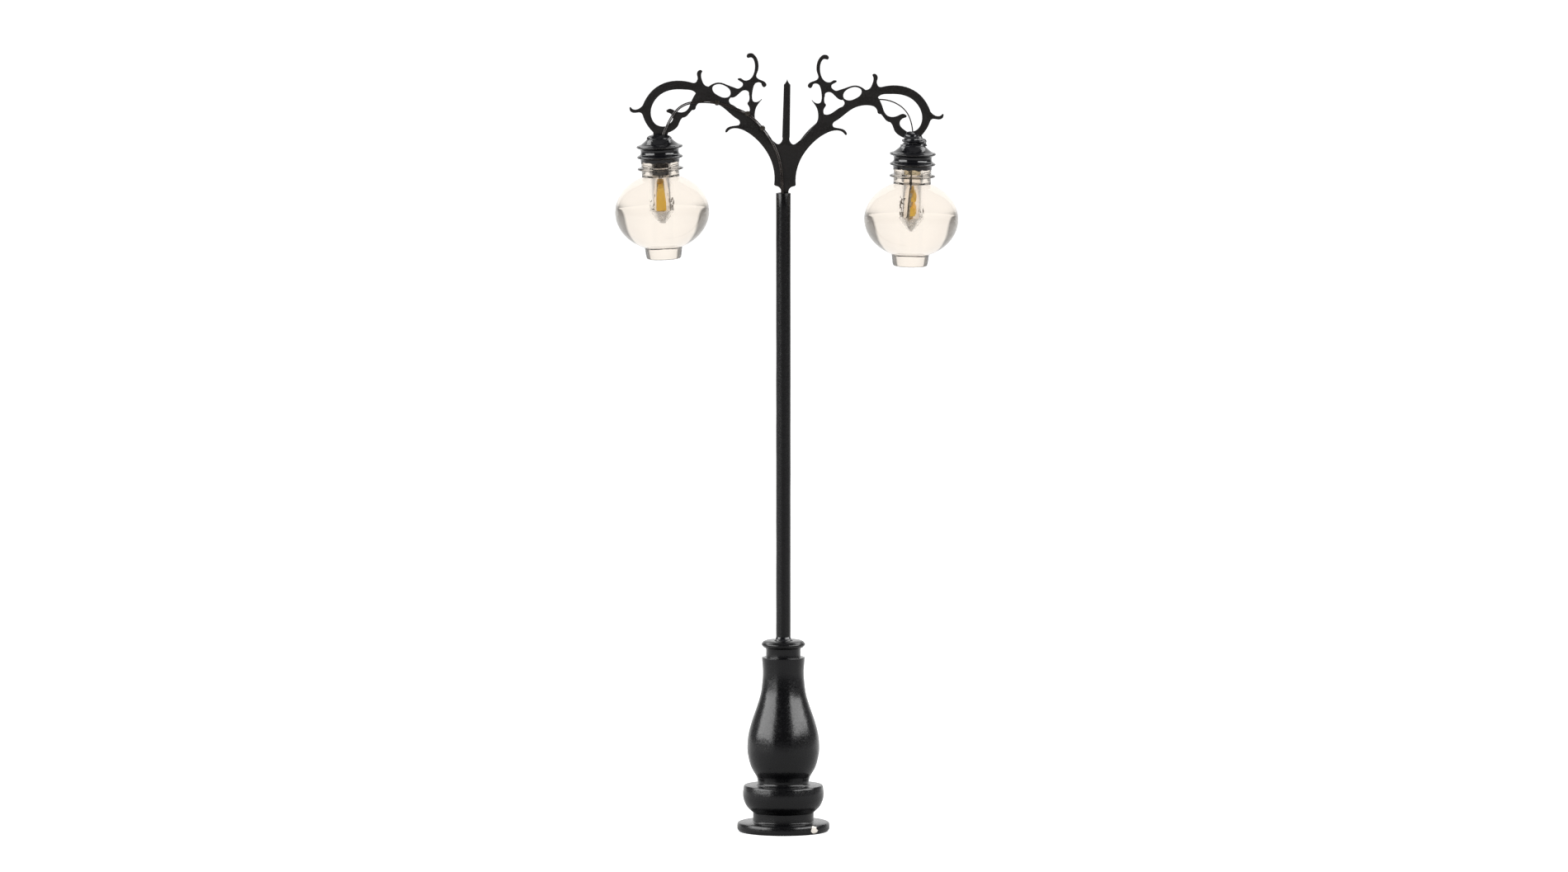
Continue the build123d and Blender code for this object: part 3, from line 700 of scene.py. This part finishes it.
def stained(middle, side):
    angle = math.degrees(math.atan2(middle.y, middle.x)) % 360
    for turn, half, start, end in fluxStains[side]:
        off = abs((angle - turn + 180) % 360 - 180)
        patch = noise.noise(middle * 5.5 + Vector((turn, 0, 0))) + noise.noise(middle * 13) * 0.5
        fade = max(off / half, abs(-middle.z - (start + end) / 2) * 2 / (end - start))
        if fade < 1 and patch > 0.55 * fade - 0.12:
            return True
    return False


lumps = {
    "left": {
        "outline": [(0, 1.12), (0.35, 1.08), (0.62, 0.98), (0.9, 0.86), (1.06, 0.7), (0.98, 0.6),
                    (0.6, 0.3), (0, 0.2)],
        "height": 0.1, "grain": 0.55, "seed": 2.0,
    },
    "right": {
        "outline": [(0, 1.84), (0.36, 1.8), (0.62, 1.6), (0.72, 1.3), (0.84, 1.16), (0.98, 1.1), (0.94, 0.98),
                    (0.86, 0.92), (1.02, 0.76), (1.04, 0.66), (0.6, 0.3), (0, 0.2)],
        "height": 0.26, "grain": 0.62, "seed": 7.0,
    },
}

for side in ("left", "right"):
    place = headPlace(side)
    blackCap = capMesh()
    for v in blackCap.verts:  # the ragged lower edge of the black
        if v.co.z < -1.21 and Vector((v.co.x, v.co.y)).length > 1.6:
            run = noise.noise(v.co * 2.4 + Vector((0, 0, len(side)))) + 0.35
            v.co.z -= max(run, 0) * cap["raggedSkirt"]
    finishPiece(f"cap_ringed_{side}", blackCap, paintOnCap, [f"cap_{side}"], place, cap["edge"])
    globeShape = globeMesh()
    for face in globeShape.faces:
        middle = face.calc_center_median()
        inBore = Vector((middle.x, middle.y)).length < globe["bore"] + 0.01
        if inBore and -globe["tipEnd"] - 0.1 < middle.z < -globe["scuffFrom"]:
            face.material_index = 1
        elif inBore:
            face.material_index = 2 if stained(middle, side) else 3
    moulding = finishPiece(f"globe_moulded_{side}", globeShape, styrene, [f"globe_{side}"],
                           place, globe["edge"])
    for inner in (styreneSmeared, driedFlux, styreneBore):  # in the order of the faces' numbers
        moulding.data.materials.append(inner)
    lump = lumps[side]
    glue = turned(outline([lump["outline"]]), 64)
    lumpy(glue, lump["height"], lump["grain"], lump["seed"], lambda co: 1.0 if co.z > 0.7 else 0.0)
    finishPiece(f"cap_lump_{side}", glue, glueBlack, [f"cap_glue_{side}"], place)
print("heads hung")


def mergedPiece(name, node, material, bevel=None, sharp=35):
    piece = finishPiece(name, copyNode(node), material, [node], Matrix(), bevel)
    piece.data.set_sharp_from_angle(angle=math.radians(sharp))
    return piece


chip = {
    "drawIn": {"left": 0.42, "right": 0.0},  # share of its width that the dab loses at the top
    "edge": 0.07,
}


def domedPhosphor(side):
    # the silicone draws in towards the top of the chip
    bm = copyNode(f"led_phosphor_{side}")
    bmesh.ops.subdivide_edges(bm, edges=bm.edges, cuts=5, use_grid_fill=True)
    low = min(v.co.z for v in bm.verts)
    high = max(v.co.z for v in bm.verts)
    middle = sum((v.co for v in bm.verts), Vector()) / len(bm.verts)
    for v in bm.verts:
        rise = (v.co.z - low) / (high - low)
        v.co.x = middle.x + (v.co.x - middle.x) * (1 - chip["drawIn"][side] * rise ** 3)
    return bm


for side in ("left", "right"):
    finishPiece(f"chip_face_{side}", domedPhosphor(side), phosphorFace,
                [f"led_phosphor_{side}"], Matrix(), chip["edge"])
    mergedPiece(f"chip_board_{side}", f"led_board_{side}", resinBoard, 0.015)
    mergedPiece(f"chip_ends_{side}", f"led_terminals_{side}", goldEnds, 0.01)
    mergedPiece(f"chip_solder_{side}", f"led_solder_{side}", tinSolder)
    mergedPiece(f"wire_{side}_a", f"lead_{side}_a", enamelWire)
    mergedPiece(f"wire_{side}_b", f"lead_{side}_b", enamelWire)
    mergedPiece(f"lead_dabs_{side}", f"lead_glue_{side}", glueSkin, 0.05)
mergedPiece("bore_plug_left", "bore_glue_left", glueBlack)
mergedPiece("bore_plug_right", "bore_glue_right", glueClear)
mergedPiece("mouth_plug", "mouth_glue", glueBlack)
print("chips, leads and glue in place")

studio = {
    "floorHalf": 1.3,           # metres
    "sweepFrom": 0.3,
    "sweepLift": 0.0002,
    "backY": 0.6,
    "backHalf": 0.56,
    "backHigh": 0.75,
    "bend": 0.18,
    "bendSteps": 12,
    "acrylic": (0.22, 0.22, 0.22, 1),
    "tableGlow": 0.76,          # the table and the sweep are lit through from behind
    "sweepGlow": 0.85,
    "glowAside": 0.12,
    "front": 0.25,              # share of the glow left on the table in front of the post
    "floorFade": (0.1, 0.45),   # metres out to the side over which the glow falls off
    "backFade": (0.43, 0.55),
    "frontFade": (-0.01, 0.06),
    "room": 0.28,               # grey of the room round the sweep
    "frontRoom": 0.04,          # the room's dark side, towards -Y, as paint mirrors it
    "throughGlobes": 0.85,      # and as it shows through clear plastic
    "darkSide": (-0.8, -0.1),   # where it turns from one to the other: the Y of the direction
    "throughSide": (-0.8, -0.3),
}


def stagePiece(name, bm, material):
    mesh = bpy.data.meshes.new(name)
    bm.to_mesh(mesh)
    bm.free()
    mesh.shade_smooth()
    mesh.materials.append(material)
    piece = bpy.data.objects.new(name, mesh)
    bpy.context.scene.collection.objects.link(piece)
    return piece


def litAcrylic(name, strength, fade, front):
    # white acrylic lit through from behind: its glow falls off softly to the sides and towards -Y in what
    # it lights and what mirrors it, and stays full white where it is looked at directly
    material, tree, shader, where = newMaterial(name)
    spot = addNode(tree, "ShaderNodeSeparateXYZ", inputs={"Vector": where}).outputs
    aside = addNode(tree, "ShaderNodeMath", {"operation": "ABSOLUTE"}, {0: spot["X"]}).outputs[0]
    glow = addNode(tree, "ShaderNodeMapRange", {"interpolation_type": "SMOOTHSTEP"}, {
        "Value": aside, "From Min": fade[0], "From Max": fade[1],
        "To Min": strength, "To Max": studio["glowAside"]}).outputs["Result"]
    depth = addNode(tree, "ShaderNodeMapRange", {"interpolation_type": "SMOOTHSTEP"}, {
        "Value": spot["Y"], "From Min": studio["frontFade"][0], "From Max": studio["frontFade"][1],
        "To Min": front, "To Max": 1.0}).outputs["Result"]
    lit = addNode(tree, "ShaderNodeMath", {"operation": "MULTIPLY"}, {0: glow, 1: depth}).outputs[0]
    seen = addNode(tree, "ShaderNodeLightPath").outputs["Is Camera Ray"]
    shown = addNode(tree, "ShaderNodeMath", {"operation": "MAXIMUM"}, {0: lit, 1: seen}).outputs[0]
    tree.links.new(shown, shader.inputs["Emission Strength"])
    shader.inputs["Base Color"].default_value = studio["acrylic"]
    shader.inputs["Roughness"].default_value = 0.8
    shader.inputs["Emission Color"].default_value = (1, 1, 1, 1)
    return material


floorMesh = bmesh.new()
bmesh.ops.create_grid(floorMesh, x_segments=2, y_segments=2, size=studio["floorHalf"])
tableAcrylic = litAcrylic("backlit_table", studio["tableGlow"], studio["floorFade"], studio["front"])
stagePiece("floor", floorMesh, tableAcrylic)

sweep = bmesh.new()
section = [(studio["sweepFrom"], studio["sweepLift"])]
for step in range(studio["bendSteps"] + 1):
    angle = math.pi / 2 * step / studio["bendSteps"]
    section.append((studio["backY"] - studio["bend"] * (1 - math.sin(angle)),
                    studio["sweepLift"] + studio["bend"] * (1 - math.cos(angle))))
section.append((studio["backY"], studio["backHigh"]))
row = [sweep.verts.new((-studio["backHalf"], y, z)) for y, z in section]
rowEdges = [sweep.edges.new(pair) for pair in zip(row, row[1:])]
pulled = bmesh.ops.extrude_edge_only(sweep, edges=rowEdges)["geom"]
bmesh.ops.translate(sweep, vec=(2 * studio["backHalf"], 0, 0),
                    verts=[g for g in pulled if isinstance(g, bmesh.types.BMVert)])
bmesh.ops.recalc_face_normals(sweep, faces=sweep.faces)
sweepAcrylic = litAcrylic("backlit_sweep", studio["sweepGlow"], studio["backFade"], 1.0)
backdrop = stagePiece("backdrop", sweep, sweepAcrylic)
backdrop.visible_camera = False  # left out of the view, so that it hides nothing from behind

rearPanel = {"middle": 122, "half": 20, "low": 32, "high": 58, "away": 0.5, "glow": 4.5}
softboxes = {
    # middle and half width round the post from -Y, and lower and upper edge above softboxBase, in degrees
    "left": {"middle": -67, "half": 30, "low": 4, "high": 42, "away": 0.45, "glow": 7.4},
    "right": {"middle": 66, "half": 31, "low": 14, "high": 42, "away": 0.45, "glow": 7.8},
    "rear_right": rearPanel,
    "rear_left": {**rearPanel, "middle": -rearPanel["middle"]},
}
softboxBase = 0.03  # metres above the table

# the softboxes light everything but the clear globes, which leaves their hard glare off them
glareFree = bpy.data.collections.new("glare_free")
for side in ("left", "right"):
    glareFree.objects.link(bpy.data.objects[f"globe_moulded_{side}"])
for linked in glareFree.collection_objects:
    linked.light_linking.link_state = "EXCLUDE"


def areaLight(name, location, target, width, height, glow):
    data = bpy.data.lights.new(name, "AREA")
    data.shape = "RECTANGLE"
    data.size = width
    data.size_y = height
    data.energy = glow * math.pi * width * height
    light = bpy.data.objects.new(name, data)
    bpy.context.scene.collection.objects.link(light)
    light.location = location
    light.rotation_euler = (Vector(target) - Vector(location)).to_track_quat("-Z", "Y").to_euler()
    light.visible_camera = False
    light.light_linking.receiver_collection = glareFree


for name, box in softboxes.items():
    turn, away = math.radians(box["middle"]), box["away"]
    low, high = [softboxBase + away * math.tan(math.radians(box[edge])) for edge in ("low", "high")]
    middle = Vector((math.sin(turn) * away, -math.cos(turn) * away, (low + high) / 2))
    areaLight(f"softbox_{name}", middle, (0, 0, middle.z),
              2 * away * math.tan(math.radians(box["half"])), high - low, box["glow"])

world = bpy.data.worlds.new("studio")
bpy.context.scene.world = world
world.use_nodes = True
worldTree = world.node_tree
facing = addNode(worldTree, "ShaderNodeSeparateXYZ", inputs={
    "Vector": addNode(worldTree, "ShaderNodeTexCoord").outputs["Generated"]}).outputs["Y"]
room = addNode(worldTree, "ShaderNodeMapRange", inputs={
    "Value": facing, "From Min": studio["darkSide"][0], "From Max": studio["darkSide"][1],
    "To Min": studio["frontRoom"], "To Max": studio["room"]}).outputs["Result"]
ray = addNode(worldTree, "ShaderNodeLightPath").outputs
front = addNode(worldTree, "ShaderNodeMapRange", inputs={
    "Value": facing, "From Min": studio["throughSide"][0], "From Max": studio["throughSide"][1],
    "To Min": studio["throughGlobes"], "To Max": 0.0}).outputs["Result"]
through = addNode(worldTree, "ShaderNodeMath", {"operation": "MULTIPLY"}, {
    0: front, 1: ray["Is Transmission Ray"]}).outputs[0]
lit = addNode(worldTree, "ShaderNodeMath", {"operation": "MAXIMUM"}, {0: room, 1: through}).outputs[0]
strength = addNode(worldTree, "ShaderNodeMath", {"operation": "MAXIMUM"}, {
    0: lit, 1: ray["Is Camera Ray"]}).outputs[0]
worldTree.links.new(strength, worldTree.nodes["Background"].inputs["Strength"])
worldTree.nodes["Background"].inputs["Color"].default_value = (1, 1, 1, 1)
bpy.context.scene.view_settings.view_transform = "Standard"
print("studio lit")
